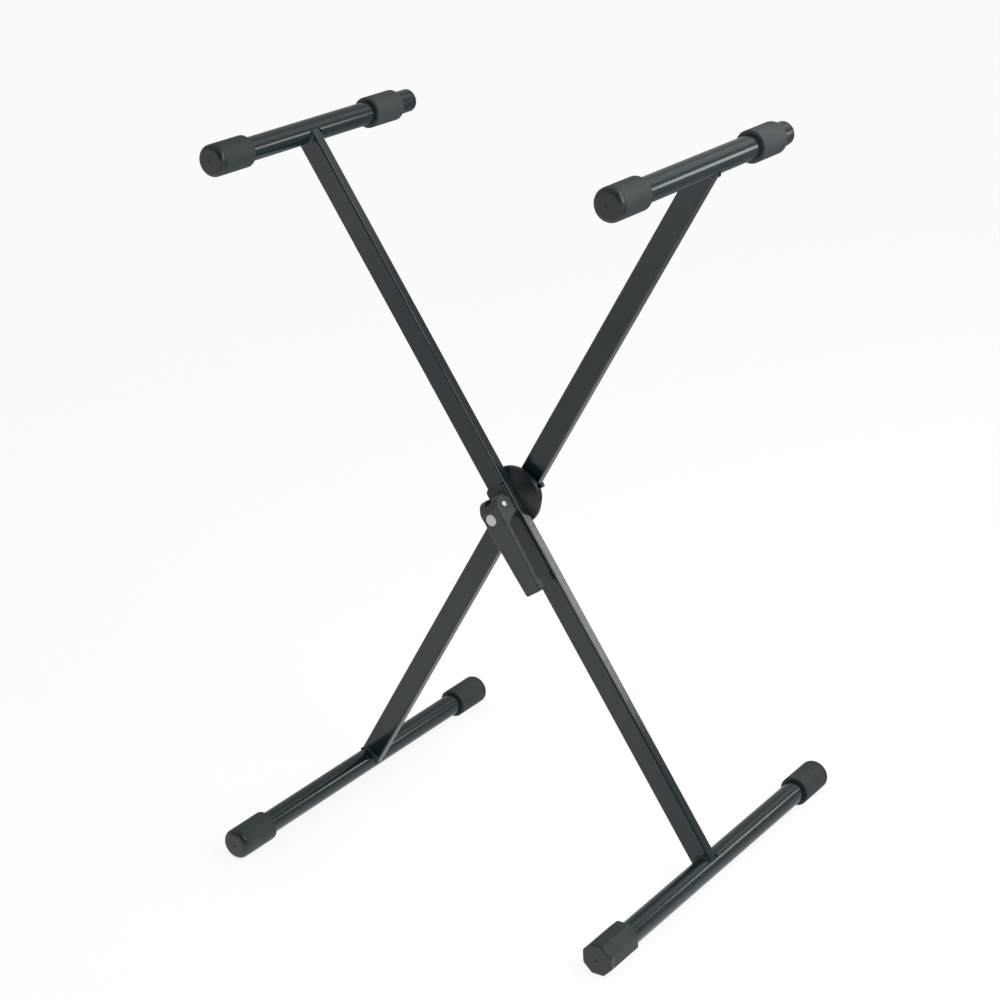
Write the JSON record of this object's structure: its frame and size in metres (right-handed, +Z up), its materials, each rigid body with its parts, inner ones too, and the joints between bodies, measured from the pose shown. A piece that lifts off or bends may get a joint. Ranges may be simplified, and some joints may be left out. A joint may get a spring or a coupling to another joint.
{
  "type": "folding instrument stand",
  "caption": "Crossed-leg folding stand: flat tube legs clamp at a central cam-lever hub and carry round arms with sliding sleeves above round floor bars with caps.",
  "frame": {"origin": "on the floor, at the middle of the footprint, straight below the pivot", "axes": "+Z up; +Y along the round bars, away from the clamp lever; +X across the stand, so the legs cross in planes parallel to XZ"},
  "size_m": [0.6, 0.549, 0.9282],
  "materials": {
    "frame_paint": "dark charcoal powder coat with a satin sheen, fine orange-peel texture",
    "cap_rubber": "matte slate-grey moulded elastomer, fine tooled texture, smoother end faces",
    "sleeve_rubber": "matte slate-grey moulded elastomer",
    "plug_plastic": "black moulded plastic, glossy dome",
    "hub_casting": "die casting with a dark satin coat",
    "friction_lining": "brown pressed friction lining",
    "bearing_nylon": "natural nylon",
    "plain_steel": "turned steel",
    "plated_steel": "bright zinc plate",
    "saddle_plastic": "black moulded plastic",
    "lever_plastic": "slate-grey glass-filled plastic with a fine grain",
    "badge_metal": "plain satin inlay"
  },
  "bodies": {
    "front_frame": {"front_leg": "frame_paint", "front_leg_welds": "frame_paint", "arm_tube_left": "frame_paint", "floor_tube_right": "frame_paint", "arm_cap_left": "cap_rubber", "arm_plug_left": "plug_plastic", "floor_cap_right_rear": "cap_rubber", "hub_front": "hub_casting", "friction_disc": "friction_lining", "leg_spacer": "plain_steel", "draw_bolt": "plated_steel", "flat_washer": "plated_steel", "disc_spring": "plain_steel", "lock_nut": "plated_steel", "pressure_saddle": "saddle_plastic"},
    "rear_frame": {"rear_leg": "frame_paint", "rear_leg_welds": "frame_paint", "arm_tube_right": "frame_paint", "floor_tube_left": "frame_paint", "arm_cap_right": "cap_rubber", "arm_plug_right": "plug_plastic", "floor_cap_left_front": "cap_rubber", "floor_cap_left_rear": "cap_rubber", "hub_rear": "hub_casting", "pivot_bushing": "bearing_nylon"},
    "clamp_lever": {"cam_lever": "lever_plastic", "cam_pin": "plated_steel", "lever_badge": "badge_metal"},
    "leveller": {"levelling_cap": "cap_rubber"},
    "left_sleeve": {"arm_sleeve_left": "sleeve_rubber"},
    "right_sleeve": {"arm_sleeve_right": "sleeve_rubber"}
  },
  "joints": [
    {"name": "main_pivot", "type": "hinge", "parent": "front_frame", "child": "rear_frame", "pos_m": [0, 0, 0.4641], "axis": [0, 1, 0], "range_deg": [-59, 50]},
    {"name": "clamp_lever_hinge", "type": "hinge", "parent": "front_frame", "child": "clamp_lever", "pos_m": [0.00133, -0.0455, 0.46198], "axis": [-0.8459, 0, -0.5333], "range_deg": [0, 100]},
    {"name": "levelling_turn", "type": "hinge", "parent": "front_frame", "child": "leveller", "pos_m": [0.28, 0, 0.02], "axis": [0, 1, 0], "continuous": true},
    {"name": "left_sleeve_slide", "type": "slide", "parent": "front_frame", "child": "left_sleeve", "axis": [0, 1, 0], "range_m": [-0.065, 0.024]},
    {"name": "right_sleeve_slide", "type": "slide", "parent": "rear_frame", "child": "right_sleeve", "axis": [0, 1, 0], "range_m": [-0.065, 0.018]}
  ]
}
